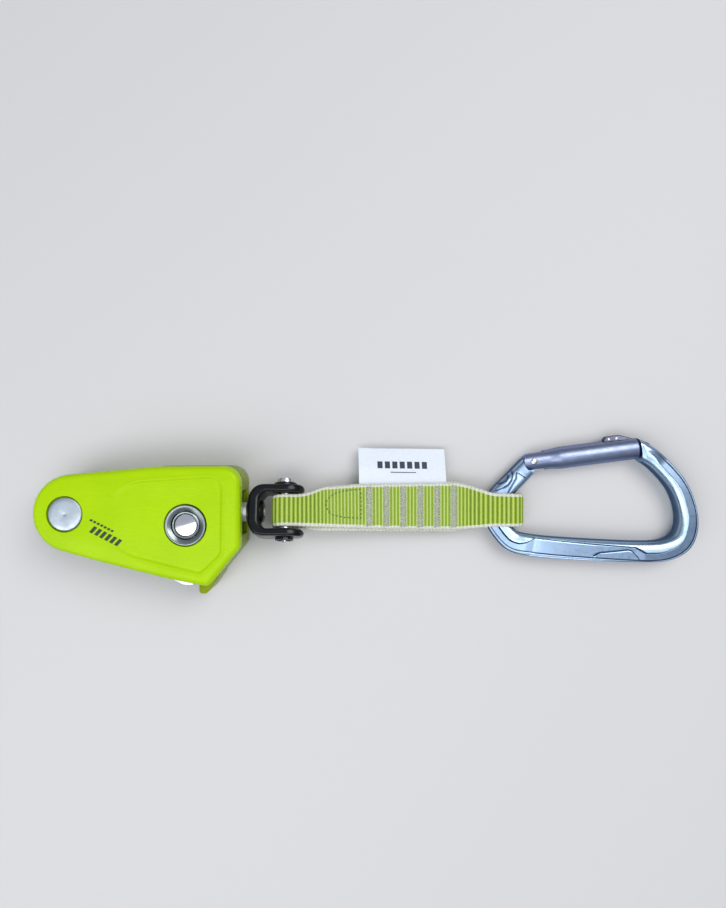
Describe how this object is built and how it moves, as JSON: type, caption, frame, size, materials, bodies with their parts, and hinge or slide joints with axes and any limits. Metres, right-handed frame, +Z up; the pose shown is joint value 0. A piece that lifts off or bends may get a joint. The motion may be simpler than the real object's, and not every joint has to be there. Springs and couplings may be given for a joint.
{
  "type": "climbing quickdraw with assisted braking device",
  "caption": "Short sewn webbing sling joining a two-shell rope-braking housing on a swivel fork to a straight-gate carabiner, with a side label.",
  "frame": {"origin": "centre of the bounding box's bottom face, on the surface the draw lies on", "axes": "+X from the braking housing to the carabiner, +Y towards the side the gate is on, +Z up out of the cover"},
  "size_m": [0.2894, 0.0698, 0.028],
  "materials": {
    "lime_shell": "glossy moulded lime",
    "steel": "turned and polished",
    "dark_steel": "blackened",
    "brass": "plain",
    "black_fork": "glossy black coating",
    "webbing": "woven lime webbing with pale edges",
    "label_fabric": "smooth white label cloth",
    "anodised": "satin blue-grey anodised",
    "gate_anodised": "satin slate anodised"
  },
  "bodies": {
    "housing": {"back_shell": "lime_shell", "back_plate": "steel", "pivot_bolt": "steel", "pivot_nut": "steel", "pivot_spacer": "steel", "pivot_washer": "brass", "lock_post": "steel", "rope_bollard": "steel", "brake_jaw_back": "steel", "brake_jaw_back_rivet_1": "steel", "brake_jaw_back_rivet_2": "steel", "swivel_block": "dark_steel"},
    "swing_cover": {"front_shell": "lime_shell", "front_plate": "steel", "lock_collar": "steel", "lock_sleeve": "steel", "lock_spring": "steel", "brake_jaw_front": "steel", "brake_jaw_front_rivet_1": "steel", "brake_jaw_front_rivet_2": "steel"},
    "lock_button": {"lock_button": "steel"},
    "swivel_fork": {"fork": "black_fork", "fork_pin": "steel", "fork_pin_clip": "steel", "swivel_shaft": "steel", "swivel_washer": "dark_steel"},
    "sling": {"sling": "webbing"},
    "label": {"label": "label_fabric"},
    "sling_eye": {"sling_eye": "webbing"},
    "carabiner": {"carabiner_body": "anodised"},
    "gate": {"gate": "gate_anodised", "gate_rivet": "steel", "gate_spring": "steel"},
    "gate_plunger": {"gate_plunger": "steel"}
  },
  "joints": [
    {"name": "cover_swing", "type": "hinge", "parent": "housing", "child": "swing_cover", "pos_m": [-0.13122, 0.00093, 0.0208], "axis": [0, 0, 1], "range_deg": [-100, 0]},
    {"name": "lock_button_press", "type": "slide", "parent": "swing_cover", "child": "lock_button", "axis": [0, 0, -1], "range_m": [0, 0.0025], "stiffness_N_per_m": 800, "springref_m": -0.004, "deforming": ["lock_spring"]},
    {"name": "swivel_turn", "type": "hinge", "parent": "housing", "child": "swivel_fork", "pos_m": [-0.05542, 0.00093, 0.014], "axis": [1, 0, 0], "continuous": true},
    {"name": "sling_hinge", "type": "hinge", "parent": "swivel_fork", "child": "sling", "pos_m": [-0.03982, 0.00093, 0.014], "axis": [0, 0.9703, -0.2419], "range_deg": [-95, 95]},
    {"name": "label_flap", "type": "hinge", "parent": "sling", "child": "label", "pos_m": [0.01249, 0.01338, 0.00949], "axis": [0.9963, 0, -0.0859], "range_deg": [-38, 82]},
    {"name": "eye_flex", "type": "hinge", "parent": "sling", "child": "sling_eye", "pos_m": [0.04008, 0.00093, 0.00711], "axis": [0, 1, 0], "range_deg": [-80, 80]},
    {"name": "carabiner_swing", "type": "hinge", "parent": "sling_eye", "child": "carabiner", "pos_m": [0.06828, 0.00063, 0.0059], "axis": [0, 0, 1], "range_deg": [-18, 18]},
    {"name": "gate_open", "type": "hinge", "parent": "carabiner", "child": "gate", "pos_m": [0.07088, 0.02303, 0.0059], "axis": [0, 0, 1], "range_deg": [-28, 0], "stiffness_Nm_per_rad": 0.3, "springref_deg": 45.84, "deforming": ["gate_spring"]},
    {"name": "gate_plunger_slide", "type": "slide", "parent": "gate", "child": "gate_plunger", "axis": [0.9917, 0.1288, 0], "range_m": [0, 0.0012]}
  ],
  "couplings": [
    {"joint": "gate_plunger_slide", "follows": "gate_open", "m_per_rad": -0.0022}
  ]
}
